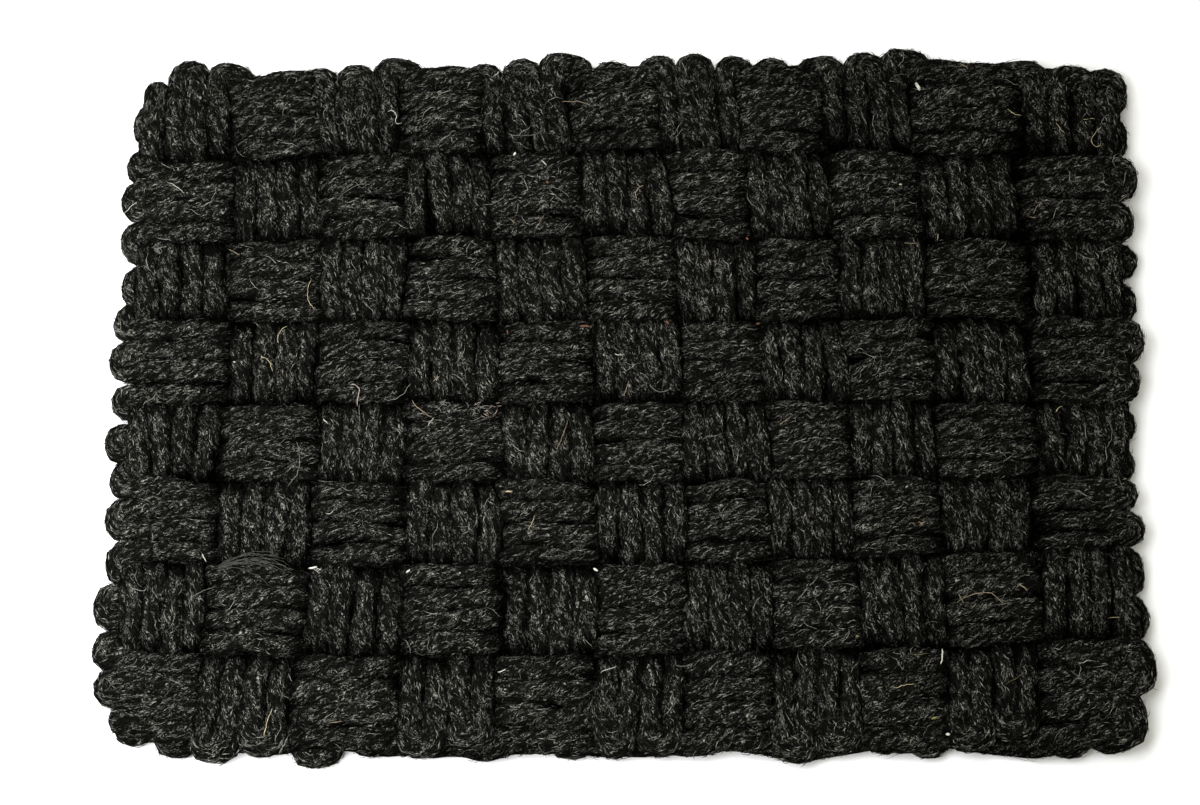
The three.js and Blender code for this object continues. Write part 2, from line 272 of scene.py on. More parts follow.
class Graph:
    """A node tree, and the one way in which nodes are added to it."""

    def __init__(self, tree):
        self.tree = tree

    def add(self, kind, values=None, settings=None, output=0):
        """Adds a node. Its settings come first, then the values or links of its sockets."""
        node = self.tree.nodes.new(kind)
        for name, value in (settings or {}).items():
            self.set_up(node, name, value)
        for key, value in (values or {}).items():
            socket = live_socket(node.inputs, key)
            if isinstance(value, Wire):
                self.tree.links.new(value.socket, socket)
            else:
                socket.default_value = value
        return Wire(self, node, live_socket(node.outputs, output) if node.outputs else None)

    @staticmethod
    def set_up(node, name, value):
        if name == "captures":
            for item_name, item_type in value:
                node.capture_items.new(item_type, item_name)
        elif name == "stops":
            ramp = node.color_ramp
            while len(ramp.elements) < len(value):
                ramp.elements.new(1.0)
            for element, (place, colour) in zip(ramp.elements, value):
                element.position = place
                element.color = (*colour, 1.0)
        else:
            setattr(node, name, value)

    def maths(self, operation, *values):
        return self.add("ShaderNodeMath", dict(enumerate(values)), {"operation": operation})

    def worked_out(self, operation, first, second):
        """A Math node, or a Vector Math node where either side is a vector or a colour."""
        wide = [value for value in (first, second) if is_wide(value)]
        if not wide:
            return self.maths(operation, first, second)
        if operation == "MULTIPLY" and len(wide) == 1:
            number = second if wide[0] is first else first
            return self.vector("SCALE", wide[0], number)
        return self.vector(operation, first, second)

    def vector(self, operation, *values):
        sockets = dict(enumerate(values))
        if operation == "SCALE":
            sockets = {"Vector": values[0], "Scale": values[1]}
        output = "Value" if operation == "DOT_PRODUCT" else "Vector"
        return self.add("ShaderNodeVectorMath", sockets, {"operation": operation}, output)

    def combined(self, x, y, z):
        return self.add("ShaderNodeCombineXYZ", {"X": x, "Y": y, "Z": z})

    def remapped(self, value, low, high, to_low=0.0, to_high=1.0):
        """The value from low to high becomes to_low to to_high, with soft ends."""
        sockets = {"Value": value, "From Min": low, "From Max": high, "To Min": to_low, "To Max": to_high}
        return self.add("ShaderNodeMapRange", sockets, {"interpolation_type": "SMOOTHSTEP"})

    def noise(self, place, grain, detail=2.0, roughness=0.5, output=0):
        """Noise as fine as its grain, which is one number, or one along each axis."""
        if isinstance(grain, tuple):
            place = place * grain
            grain = 1.0
        sockets = {"Vector": place, "Scale": grain, "Detail": detail, "Roughness": roughness}
        return self.add("ShaderNodeTexNoise", sockets, output=output)

    def carried(self, name, output):
        """A value that the mesh carries, in a material."""
        return self.add("ShaderNodeAttribute", settings={"attribute_name": name}, output=output)

    def ramp(self, tone, dark, middle_place, middle, pale):
        stops = [(0.0, dark), (middle_place, middle), (1.0, pale)]
        return self.add("ShaderNodeValToRGB", {"Fac": tone}, {"stops": stops})

    def surface(self, colour, roughness, specular, normal=None):
        """Ends a material in one dull surface."""
        sockets = {"Base Color": colour, "Roughness": roughness, "Specular IOR Level": specular}
        if normal is not None:
            sockets["Normal"] = normal
        shader = self.add("ShaderNodeBsdfPrincipled", sockets)
        self.add("ShaderNodeOutputMaterial", {"Surface": shader})


class ShapeGraph(Graph):
    """A geometry tree with named inputs, which ends in realized instances with a material."""

    KINDS = {float: "NodeSocketFloat", int: "NodeSocketInt"}

    def __init__(self, name, numbers):
        super().__init__(bpy.data.node_groups.new(name, "GeometryNodeTree"))
        face = self.tree.interface
        face.new_socket(name="Geometry", in_out="INPUT", socket_type="NodeSocketGeometry")
        face.new_socket(name="Geometry", in_out="OUTPUT", socket_type="NodeSocketGeometry")
        for label, value in numbers.items():
            made = face.new_socket(name=label, in_out="INPUT", socket_type=self.KINDS[type(value)])
            made.default_value = value
        face.new_socket(name="Material", in_out="INPUT", socket_type="NodeSocketMaterial")
        self.inputs = self.tree.nodes.new("NodeGroupInput")
        self.output = self.tree.nodes.new("NodeGroupOutput")

    def input(self, name):
        return Wire(self, self.inputs, self.inputs.outputs[name])

    def attribute(self, name, data_type="FLOAT"):
        settings = {"data_type": data_type}
        return self.add("GeometryNodeInputNamedAttribute", {"Name": name}, settings, "Attribute")

    def stored(self, geometry, name, value, data_type="FLOAT", domain="POINT"):
        sockets = {"Geometry": geometry, "Name": name, "Value": value}
        settings = {"data_type": data_type, "domain": domain}
        return self.add("GeometryNodeStoreNamedAttribute", sockets, settings)

    def chance(self, low, high, seed, data_type="FLOAT"):
        """A random number or vector for each element, the same in every run."""
        sockets = {"Min": low, "Max": high, "Seed": seed}
        return self.add("FunctionNodeRandomValue", sockets, {"data_type": data_type}, "Value")

    def moved(self, geometry, position):
        return self.add("GeometryNodeSetPosition", {"Geometry": geometry, "Position": position})

    def finish(self, geometry):
        """Realizes the shape, keeps it just above the floor and gives it its material."""
        real = self.add("GeometryNodeRealizeInstances", {"Geometry": geometry})
        place = self.add("GeometryNodeInputPosition")
        kept_up = self.moved(real, self.vector("MAXIMUM", place, LOWEST))
        smooth = self.add("GeometryNodeSetShadeSmooth", {"Geometry": kept_up})
        sockets = {"Geometry": smooth, "Material": self.input("Material")}
        made = self.add("GeometryNodeSetMaterial", sockets)
        self.tree.links.new(made.socket, self.output.inputs["Geometry"])
        return self.tree


def grown(piece, tree, values):
    """Runs a geometry tree on a piece, and leaves its result on the piece as a plain mesh."""
    modifier = piece.modifiers.new(tree.name, "NODES")
    modifier.node_group = tree
    for item in tree.interface.items_tree:
        if item.in_out == "INPUT" and item.name in values:
            modifier[item.identifier] = values[item.name]
    depsgraph = bpy.context.evaluated_depsgraph_get()
    mesh = bpy.data.meshes.new_from_object(
        piece.evaluated_get(depsgraph), preserve_all_data_layers=True, depsgraph=depsgraph
    )
    piece.modifiers.remove(modifier)
    rough = piece.data
    piece.data = mesh
    bpy.data.meshes.remove(rough)
    mesh.name = piece.name
    return piece


def new_piece(name, points, edges=(), faces=()):
    mesh = bpy.data.meshes.new(name)
    mesh.from_pydata(points, edges, faces)
    piece = bpy.data.objects.new(name, mesh)
    bpy.context.scene.collection.objects.link(piece)
    return piece


def hand_over(piece):
    """Every finished piece of the mat rides on its one body."""
    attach(piece, BODY)


def piece_named(name):
    piece = bpy.data.objects.get(name)
    if piece is None:
        raise RuntimeError(f"{name} has to be made first")
    return piece


def setting(make, **kind):
    """One kind of setting: made from its name, its description and its default."""

    def made(name, description, default):
        return make(name=name, description=description, default=default, **kind)

    return made


count_setting = setting(IntProperty)
strength_setting = setting(FloatProperty)
length_setting = setting(FloatProperty, unit="LENGTH")
power_setting = setting(FloatProperty, unit="POWER")
lens_setting = setting(FloatProperty, unit="CAMERA")
share_setting = setting(FloatProperty, subtype="FACTOR")
angle_setting = setting(FloatProperty, subtype="ANGLE")
colour_setting = setting(FloatVectorProperty, subtype="COLOR", size=3)
place_setting = setting(FloatVectorProperty, subtype="TRANSLATION", unit="LENGTH", size=3)
way_setting = setting(FloatVectorProperty, subtype="DIRECTION", size=3)


class YarnSizes(bpy.types.PropertyGroup):
    """The yarn and how it is spun and laid"""

    warp_pitch: length_setting("Warp Pitch", "The room of a warp yarn where nothing crowds it", 0.0112)
    weft_pitch: length_setting("Weft Pitch", "The room of a weft yarn where nothing crowds it", 0.0132)
    warp_spread: share_setting("Warp Spread", "The share of the room beside it that a warp band fills", 0.6)
    weft_spread: share_setting("Weft Spread", "The share of the room beside it that a weft band fills", 1.0)
    # The light lost in a valley is painted shade in the yarn's colour.
    warp_valley_shade: share_setting("Warp Valley", "How much light is lost between two warp yarns", 0.92)
    weft_valley_shade: share_setting("Weft Valley", "How much light is lost between two weft yarns", 0.58)
    warp_twist: angle_setting("Warp Twist", "The angle of the fibres to the warp yarn", math.radians(14))
    weft_twist: angle_setting("Weft Twist", "The angle of the fibres to the weft yarn", math.radians(20))
    lump_height: length_setting("Lump Height", "How far the yarn's surface swells and sinks", 0.0021)
    wander: length_setting("Wander", "How far a run strays sideways from its place in the band", 0.0011)
    step: length_setting("Step", "The distance between two rings of the yarn's mesh", 0.0028)
    sides: count_setting("Sides", "Sides of the yarn's mesh", 10)
    seed: count_setting("Seed", "Seed of the yarn's unevenness", 7)


class FibreSizes(bpy.types.PropertyGroup):
    """The fibres on the yarn's surface"""

    tuft_count: count_setting("Tufts", "Short fibres along the twist, on each of warp and weft", 26000)
    tuft_length: length_setting("Tuft Length", "Mean length of a short fibre along the twist", 0.0042)
    fluff_count: count_setting("Fluff", "Finer fibres that stray from it, on each of warp and weft", 27000)
    fluff_length: length_setting("Fluff Length", "Mean length of a finer fibre that strays", 0.0042)
    curl_count: count_setting("Curls", "Long curled fibres, on each of warp and weft", 2300)
    curl_length: length_setting("Curl Length", "Mean length of a long curled fibre", 0.011)
    seed: count_setting("Seed", "Seed of where the fibres lie", 21)


class YarnColours(bpy.types.PropertyGroup):
    """The heathered yarn's colours, from its darkest fibres to its palest"""

    dark: colour_setting("Dark Fibres", "The near-black ground of the yarn", (0.0007, 0.0007, 0.0006))
    middle: colour_setting("Charcoal Fibres", "The yarn's main charcoal", (0.0092, 0.0091, 0.0075))
    pale: colour_setting("Grey Flecks", "The grey fibres that fleck the yarn", (0.262, 0.259, 0.224))


class ThreadColours(bpy.types.PropertyGroup):
    """The threads and bits of straw that have caught in the surface"""

    white: colour_setting("White Threads", "Pale cotton threads", (0.52, 0.5, 0.435))
    straw: colour_setting("Straw", "Bits of straw and dry grass", (0.45, 0.385, 0.235))
    tan: colour_setting("Tan Hairs", "Light brown hairs", (0.3, 0.23, 0.155))
    rust: colour_setting("Rust Hairs", "Reddish brown hairs", (0.13, 0.06, 0.035))
    rose: colour_setting("Rose Hairs", "Pale reddish hairs", (0.4, 0.31, 0.245))
    grey: colour_setting("Grey Threads", "Long grey hairs of the yarn itself", (0.18, 0.178, 0.155))
    olive: colour_setting("Moss Bits", "Bits of dried moss", (0.16, 0.15, 0.062))
    charcoal: colour_setting("Charcoal Threads", "The threads of the loose strand", (0.054, 0.054, 0.047))


class StudioSettings(bpy.types.PropertyGroup):
    """The camera, the floor and the lights"""

    camera_place: place_setting("Camera Place", "Where the camera stands", (-0.01632, -0.44107, 1.4318))
    elevation: angle_setting("Elevation", "How steeply the camera looks down", math.radians(73))
    lens: lens_setting("Lens", "Focal length in millimetres", 77.5)
    floor_colour: colour_setting("Floor", "The plain pale floor", (0.96, 0.96, 0.96))
    sky_colour: colour_setting("Sky Colour", "Colour of the even light from all round", (1.0, 0.99, 0.87))
    sky_strength: strength_setting("Sky Strength", "Strength of the even light from all round", 0.56)
    key_colour: colour_setting("Key Colour", "Colour of the large soft light", (0.94, 0.95, 1.0))
    key_power: power_setting("Key Power", "Power of the large soft light", 6.9)
    key_place: place_setting("Key Place", "Where the large soft light hangs", (-0.35, -0.13, 0.65))
    key_target: place_setting("Key Target", "Where the large soft light points", (-0.28, -0.06, 0.0))
    key_size: length_setting("Key Size", "Width of the large soft light", 0.7)
    key_spread: angle_setting("Key Spread", "How far the large soft light spreads", math.radians(112))
    sun_strength: strength_setting("Sun Strength", "Strength of the soft light from the far side", 0.75)
    sun_width: angle_setting("Sun Width", "Width of the soft light from the far side", math.radians(25))
    sun_way: way_setting("Sun Direction", "The way towards the light from the far side", (-0.35, 0.7, 0.9))


def curve_through(band, at):
    """A band's middle line where at runs from -1 at its first end to 1 at its last."""
    bow = (band.first + band.last) / 2 - band.middle
    return band.middle + (band.last - band.first) / 2 * at + bow * at * at


class Layer:
    """The warp or the weft, in its own terms: along its runs, and across them."""

    def __init__(self, bands, half_length, turns_first_at_high, pitch, spread, lie):
        self.bands = bands
        self.half_length = half_length
        self.turns_first_at_high = turns_first_at_high
        self.pitch = pitch
        self.spread = spread
        self.lie = lie
        self.crossing = None

    def line(self, band, along):
        return curve_through(self.bands[band], np.asarray(along) / self.half_length)

    def half_width(self, band, side, along):
        """How far a band reaches to one side. Soft yarn spreads into the room that it finds there."""
        own = RUNS_IN_BAND * self.pitch / 2
        beside = band + side
        if not 0 <= beside < len(self.bands):
            return np.full_like(np.asarray(along, float), self.lie.edge_half_width)
        room = abs(self.line(beside, along) - self.line(band, along)) / 2
        return self.spread * room + (1 - self.spread) * own

    def run_place(self, band, run, along):
        """Where a run lies across the mat, and how much room its yarn has there."""
        low = self.half_width(band, -1, along)
        high = self.half_width(band, 1, along)
        room = (low + high) / RUNS_IN_BAND
        return self.line(band, along) - low + (run + 0.5) * room, room

    def crossings(self, band):
        """Where along the band the middle lines of the other layer's bands cross it."""
        places = []
        for other in range(len(self.crossing.bands)):
            along = 0.0
            for _ in range(3):
                along = float(self.crossing.line(other, self.line(band, along)))
            places.append(along)
        return np.array(places)

    def levels(self, band):
        """1 where the band lies over the other layer's bands, and -1 where it lies under them."""
        first = 1 if self.turns_first_at_high else -1
        return np.array([first * (-1) ** (band + other) for other in range(len(self.crossing.bands))])

    def run_ends(self, band, run):
        """How far the loops at the low and the high end of a run reach."""
        row = self.bands[band]
        pair_side = row.loop_a if run < 2 else row.loop_b
        if run == 0:
            single_side = self.bands[max(band - 1, 0)].next_loop
        elif run == RUNS_IN_BAND - 1:
            single_side = row.next_loop
        else:
            single_side = row.own_loop
        return (single_side, pair_side) if self.turns_first_at_high else (pair_side, single_side)


def smooth_step(t):
    t = np.clip(t, 0.0, 1.0)
    return t * t * (3 - 2 * t)


def drift(rng, along, knot_gap, size):
    """A smooth random wander, with a new random value at each knot."""
    at = (along - along.min()) / knot_gap
    knots = rng.normal(0.0, size, int(at.max()) + 3)
    whole = at.astype(int)
    share = smooth_step(at - whole)
    return knots[whole] * (1 - share) + knots[whole + 1] * share


# How the yarn lies, in millimetres.
YARN_RADIUS = 6.0
LOOP_HEIGHT_OVER = 14.0
LOOP_HEIGHT_UNDER = 7.4
LOOP_BEGINS = 0.3  # the share of a run beyond its last crossing that keeps the crossing's height
TURN_ROOM = 2.1 * YARN_RADIUS  # what a loop takes up of a run's length
LOOP_POINTS = 1.35  # a loop's points over its width in steps
LOOP_SHOULDER = 0.5  # 1 for a round loop, and less for a squarer one
LOOP_SCATTER = 0.5
CROSSING_SCATTER = 1.6  # how far from its neighbours' a yarn's bends may be
SQUASHED_WIDER = 1.1  # a yarn under the other layer is this much wider
WIDTH_DRIFT = 0.09  # how much thicker and thinner the yarn gets along its way
TALL_DRIFT = 0.03
HEIGHT_WANDER = 0.4  # how far a run strays up and down, over how far it strays sideways
SIDEWAYS_KNOTS = 19.0  # the distances between the random values of each drift
HEIGHT_KNOTS = 23.0
WIDTH_KNOTS = 15.0
FULLNESS_FAR = 0.08  # how much wider it is in the turns at the far and right edges
FULLNESS_NEAR = 0.24  # and at the near and left edges
ROUND_HEIGHT = 1.02  # a yarn's height over half the mat's thickness
FREE_END = 7.0  # the rounded end of a cut yarn
FREE_END_START = 0.4
OUTERMOST_SHOWN = 0.6  # how far the mat's outermost runs show where they lie under the other layer, and how far their painted shade is lifted there

# How a layer's yarns lie: a yarn's width over its room, how flat it lies on a block before it bends
# down, how much lower a block's outer yarns lie, and a band's half width towards the mat's edge.
Lie = namedtuple("Lie", "overlap flatness outer_drop edge_half_width")
WARP_LIE = Lie(1.28, 1.7, 0.9, 22.4)
WEFT_LIE = Lie(1.18, 2.3, 2.2, 26.4)

# A route's columns: where it runs, how wide and high the yarn is, and 1 beyond the last crossing.
ALONG, ACROSS, HEIGHT, YARN_WIDTH, YARN_TALL, OUTER = range(6)


def lay_run(layer, band, run, sizes, rng):
    """One run of a band, from its low end to its high."""
    low_reach, high_reach = layer.run_ends(band, run)
    crossings = layer.crossings(band) + rng.normal(0, CROSSING_SCATTER, len(layer.crossing.bands))
    levels = layer.levels(band)
    low = low_reach + TURN_ROOM
    high = high_reach - TURN_ROOM
    along = np.arange(low, high, sizes.step / MM)

    inner = np.clip(along, crossings[0], crossings[-1])
    gap = np.clip(np.searchsorted(crossings, inner, side="right") - 1, 0, len(crossings) - 2)
    share = (inner - crossings[gap]) / (crossings[gap + 1] - crossings[gap])
    wave = levels[gap] * np.cos(math.pi * share)
    level = np.tanh(layer.lie.flatness * wave) / math.tanh(layer.lie.flatness)
    drop = layer.lie.outer_drop * (run in (0, RUNS_IN_BAND - 1)) * np.maximum(level, 0)
    height = THICKNESS / 2 + YARN_HEIGHT / 2 * level - drop
    outer = np.zeros(len(along))
    for end, crossing, own in ((low, crossings[0], levels[0]), (high, crossings[-1], levels[-1])):
        loop = LOOP_HEIGHT_OVER if own > 0 else LOOP_HEIGHT_UNDER
        beyond = np.clip((along - crossing) / (end - crossing), 0, 1)
        easing = smooth_step((beyond - LOOP_BEGINS) / (1 - LOOP_BEGINS))
        height += (loop - height) * easing
        outer = np.maximum(outer, easing)

    if (band, run) in ((0, 0), (len(layer.bands) - 1, RUNS_IN_BAND - 1)):
        outer = np.maximum(outer, OUTERMOST_SHOWN)

    wander = sizes.wander / MM
    across, room = layer.run_place(band, run, along)
    across = across + drift(rng, along, SIDEWAYS_KNOTS, wander)
    if layer.turns_first_at_high and band == 0:
        drawn_in = smooth_step((CORNER_START - along) / CORNER_LENGTH)
        across += CORNER_LIFT * (1 - run / RUNS_IN_BAND) * drawn_in
    height += drift(rng, along, HEIGHT_KNOTS, wander * HEIGHT_WANDER)
    squashed = 1 + (SQUASHED_WIDER - 1) * np.maximum(-level, 0) * (1 - outer)
    width = room * layer.lie.overlap * squashed
    width *= 1 + drift(rng, along, WIDTH_KNOTS, WIDTH_DRIFT)
    tall = YARN_HEIGHT * ROUND_HEIGHT * (1 + drift(rng, along, WIDTH_KNOTS, TALL_DRIFT))
    return np.column_stack([along, across, height, width, tall, outer])


def turn(start, end, reach, outward, step):
    """The loop between two runs' ends, out to its reach, with squarish shoulders."""
    fullness = FULLNESS_FAR if outward > 0 else FULLNESS_NEAR
    spread = (start[YARN_WIDTH] + end[YARN_WIDTH]) / 4 * (1 + fullness)
    count = max(6, round(LOOP_POINTS * abs(start[ACROSS] - end[ACROSS]) / step))
    angle = np.linspace(0.0, math.pi, count + 2)[1:-1]
    out = np.abs(np.sin(angle)) ** LOOP_SHOULDER
    swing = np.sign(np.cos(angle)) * np.abs(np.cos(angle)) ** LOOP_SHOULDER
    share = ((1 - swing) / 2)[:, None]
    points = start * (1 - share) + end * share
    base = points[:, ALONG]
    points[:, ALONG] = base + (reach - outward * spread - base) * out
    points[:, OUTER] = 1.0
    points[:, YARN_WIDTH] *= 1 + fullness * out
    return points


def yarn_route(layer, sizes, seed):
    """The whole yarn of a layer: each run, and the loop that turns it into the next one."""
    rng = np.random.default_rng(seed)
    step = sizes.step / MM
    count = len(layer.bands) * RUNS_IN_BAND
    runs = [lay_run(layer, *divmod(n, RUNS_IN_BAND), sizes, rng) for n in range(count)]
    parts = []
    for n in range(count):
        towards_high = (n % 2 == 0) == layer.turns_first_at_high
        parts.append(runs[n] if towards_high else runs[n][::-1])
        if n + 1 < count:
            ahead = runs[n + 1][-1] if towards_high else runs[n + 1][0]
            reach = layer.run_ends(*divmod(n, RUNS_IN_BAND))[1 if towards_high else 0]
            reach += rng.normal(0, LOOP_SCATTER)
            parts.append(turn(parts[-1][-1], ahead, reach, 1 if towards_high else -1, step))
    return with_free_ends(even_steps(np.vstack(parts), step), step)


def even_steps(points, step):
    """The same route with its kinks softened and its points evenly spaced."""
    soft = points.copy()
    for _ in range(2):
        soft[1:-1] = (soft[:-2] + 2 * soft[1:-1] + soft[2:]) / 4
    lengths = np.linalg.norm(np.diff(soft[:, :3], axis=0), axis=1)
    along = np.concatenate([[0.0], np.cumsum(lengths)])
    places = np.linspace(0.0, along[-1], round(along[-1] / step))
    return np.column_stack([np.interp(places, along, column) for column in soft.T])


def with_free_ends(points, step):
    """Rounds off the yarn's two cut ends."""
    count = len(points)
    from_end = np.minimum(np.arange(count), np.arange(count)[::-1]) * step
    left = 1 - np.clip((from_end + FREE_END_START) / FREE_END, 0, 1)
    points[:, [YARN_WIDTH, YARN_TALL]] *= np.sqrt(1 - left**2)[:, None]
    return points


def layers(sizes):
    """The warp and the weft, each knowing the other. The warp's runs lie along Y, the weft's along X."""
    warp_pitch, weft_pitch = sizes.warp_pitch / MM, sizes.weft_pitch / MM
    warp = Layer(WARP_BANDS, WARP_HALF_LENGTH, False, warp_pitch, sizes.warp_spread, WARP_LIE)
    weft = Layer(WEFT_BANDS, WEFT_HALF_LENGTH, True, weft_pitch, sizes.weft_spread, WEFT_LIE)
    warp.crossing = weft
    weft.crossing = warp
    return warp, weft


# The yarn's surface. A place round it is -1 underneath, 0 at its sides and 1 on its crown. A grain is
# how fine a pattern is across the yarn, twice, and along it.
SKY = (0.0, 0.0, 1.0)
LUMP_GRAIN = (190.0, 190.0, 85.0)
# Painted shade in the valleys between yarns, broken up by noise.
VALLEY_SHADE_GRAIN = (260.0, 260.0, 110.0)
VALLEY_SHADE_BREAKS = (0.33, 0.6, 0.4, 1.2)  # where a valley's painted shade is faint or dark, and how dark it is there
VALLEY_SHADE_RISE = (0.45, 0.95)  # where the painted valley shade fades, from the valley's floor to the crown
LOOP_VALLEY_SHADE = 0.75  # how much of the painted valley shade is lost in an edge loop
UNDERSIDE_SHADE_TURN = (-0.5, -0.2)  # from what shows below the mat to what shows above it, where the painted shade turns over
BLOCK_SHOWN = (-0.2, 0.35)  # from the yarn's hidden side to its shown one
LOOP_SHOWN = (-0.8, 0.2, 0.3, 0.9)
BELOW_SHOWN = (-0.6, -0.1, 0.3, 1.0)  # fibres are fewer below the mat


def spin_tree(sizes, twist):
    """Sweeps a soft, twisted, slightly lumpy yarn along a line, and stores its fibre directions and its
    painted shade.
    """
    graph = ShapeGraph(
        "Spin yarn",
        {
            "Radius": YARN_RADIUS * MM,
            "Twist Per Metre": 0.0,
            "Lump Height": sizes.lump_height,
            "Mat Middle": THICKNESS / 2 * MM,
            "Valley": 0.5,
            "Dark Level": -1.0,
            "Lit Level": 1.0,
            "Sides": sizes.sides,
        },
    )
    line = graph.add("GeometryNodeMeshToCurve", {"Mesh": graph.input("Geometry")})
    place = graph.add("GeometryNodeInputPosition")
    length = graph.add("GeometryNodeSplineParameter", output="Length")
    tangent = graph.add("GeometryNodeInputTangent")
    captured = graph.add(
        "GeometryNodeCaptureAttribute",
        {"Geometry": line, "Middle": place, "Along": length, "Heading": tangent},
        {"captures": [("Middle", "VECTOR"), ("Along", "FLOAT"), ("Heading", "VECTOR")]},
    )
    middle = captured.other("Middle")
    along = captured.other("Along")
    heading = captured.other("Heading")
    ring = graph.add("GeometryNodeCurvePrimitiveCircle", {"Resolution": graph.input("Sides"), "Radius": MM})
    tube = graph.add(
        "GeometryNodeCurveToMesh", {"Curve": captured, "Profile Curve": ring, "Fill Caps": True}
    )

    spoke = graph.vector("NORMALIZE", place - middle)
    rise = graph.vector("DOT_PRODUCT", heading, SKY)
    upward = graph.vector("NORMALIZE", SKY - heading * rise)
    sideways = graph.vector("CROSS_PRODUCT", heading, upward)
    cos_round = graph.vector("DOT_PRODUCT", spoke, sideways)
    sin_round = graph.vector("DOT_PRODUCT", spoke, upward)

    twisted = along * graph.input("Twist Per Metre")
    cos_turn = graph.maths("COSINE", twisted)
    sin_turn = graph.maths("SINE", twisted)
    radius = graph.input("Radius")
    strand_x = (cos_round * cos_turn + sin_round * sin_turn) * radius
    strand_y = (sin_round * cos_turn - cos_round * sin_turn) * radius
    strand = graph.combined(strand_x, strand_y, along)

    lump = (graph.noise(strand, LUMP_GRAIN) - 0.5) * graph.input("Lump Height")
    half_width = graph.attribute("width") * 0.5 + lump
    half_height = graph.attribute("tall") * 0.5 + lump
    outwards = sideways * (cos_round * half_width) + upward * (sin_round * half_height)
    ring_way = upward * cos_round - sideways * sin_round
    fibre_way = graph.vector("NORMALIZE", heading + ring_way * math.tan(twist))

    height = graph.add("ShaderNodeSeparateXYZ", {"Vector": middle}, output="Z")
    level = (height - graph.input("Mat Middle")) / (graph.input("Mat Middle") * 0.5)
    in_block = graph.remapped(level * sin_round, *BLOCK_SHOWN)
    in_loop = graph.attribute("outer") * graph.remapped(sin_round, *LOOP_SHOWN)
    shown = graph.maths("MAXIMUM", in_block, in_loop) * graph.remapped(sin_round, *BELOW_SHOWN)

    # Painted shade, stored as lit: the yarn's colour is darkened where it dives under the other layer and in
    # the valleys between yarns, and the edge loops are painted lit. On the mat's underside the yarns that lie
    # low are the ones that show, so there the painted shade turns over.
    facing = graph.remapped(sin_round, *UNDERSIDE_SHADE_TURN, -1.0, 1.0)
    level_shade_ramp = graph.remapped(level * facing, graph.input("Dark Level"), graph.input("Lit Level"))
    painted_level_light = graph.maths("MAXIMUM", level_shade_ramp, graph.attribute("outer"))
    valley_shade_mask = graph.remapped(graph.maths("ABSOLUTE", sin_round), *VALLEY_SHADE_RISE, 1.0, 0.0)
    valley_shade_breaks = graph.remapped(graph.noise(strand, VALLEY_SHADE_GRAIN), *VALLEY_SHADE_BREAKS)
    valley_shade_in_run = 1 - graph.attribute("outer") * LOOP_VALLEY_SHADE
    lit = painted_level_light * (1 - valley_shade_mask * graph.input("Valley") * valley_shade_breaks * valley_shade_in_run)

    kept = graph.stored(tube, "strand", strand, "FLOAT_VECTOR")
    kept = graph.stored(kept, "fibre_way", fibre_way, "FLOAT_VECTOR")
    kept = graph.stored(kept, "shown", shown)
    # lit is painted shade, from 0 in the darkest painted shade to 1 painted fully lit; it darkens the yarn's
    # and the fibres' colours.
    kept = graph.stored(kept, "lit", lit)
    return graph.finish(graph.moved(kept, middle + outwards))


def spin(name, route, runs_along_y, sizes, twist, shading, material):
    """Makes one yarn from its route."""
    places = [ACROSS, ALONG, HEIGHT] if runs_along_y else [ALONG, ACROSS, HEIGHT]
    points = route[:, places] * MM
    piece = new_piece(name, points.tolist(), [(n, n + 1) for n in range(len(points) - 1)])
    columns = {"width": route[:, YARN_WIDTH] * MM, "tall": route[:, YARN_TALL] * MM, "outer": route[:, OUTER]}
    for label, column in columns.items():
        stored = piece.data.attributes.new(label, "FLOAT", "POINT")
        stored.data.foreach_set("value", column.astype(np.float32))
    values = dict(shading, Material=material)
    values["Twist Per Metre"] = math.tan(twist) / (YARN_RADIUS * MM)
    return grown(piece, spin_tree(sizes, twist), values)


# The yarn's flecks: how fine they are across and along the yarn, and how far each one reaches.
BROAD_FLECKS = (1750.0, 360.0, 0.88)
FINE_FLECKS = (2700.0, 600.0, 0.88)
FLECK_CORE = 0.1
WAVER_GRAIN = (330.0, 330.0, 200.0)  # how the flecks waver, and how far
WAVER = 0.006
PATCH_GRAIN = (380.0, 380.0, 150.0)  # dull and bright patches of flecks
PATCHES = (0.34, 0.66, 0.3, 1.0)
FLECK_STRENGTH = 1.15
MIDDLE_TONE = 0.38  # the tone that has the middle colour
UNLIT = 0.03  # what is left of the colour in the painted shade deep in the weave
BUMP_DEPTH = 0.002
# How loose fibres drift from paler to darker: the grain, its detail and roughness, and its weight.
FIBRE_DRIFTS = [(24.0, 3.0, 0.6, 0.35), (130.0, 1.0, 0.5, 0.5), (900.0, 0.0, 0.5, 0.6)]
THREAD_GRAIN = 420.0
THREAD_SHADES = (0.3, 0.7, 0.65, 1.0)


def flecks(graph, place, across, along, reach):
    """Short stretched flecks, each in its own grey, with dark between them."""
    sockets = {"Vector": place * (across, across, along), "Scale": 1.0}
    cells = graph.add("ShaderNodeTexVoronoi", sockets, output="Distance")
    own_grey = graph.add("ShaderNodeSeparateColor", {"Color": cells.other("Color")}, output="Red")
    return graph.remapped(cells, FLECK_CORE, reach, 1.0, 0.0) * own_grey


def new_material(name):
    """A material with an empty tree, and the graph that fills it."""
    material = bpy.data.materials.new(name)
    material.use_nodes = True
    material.node_tree.nodes.clear()
    return material, Graph(material.node_tree)


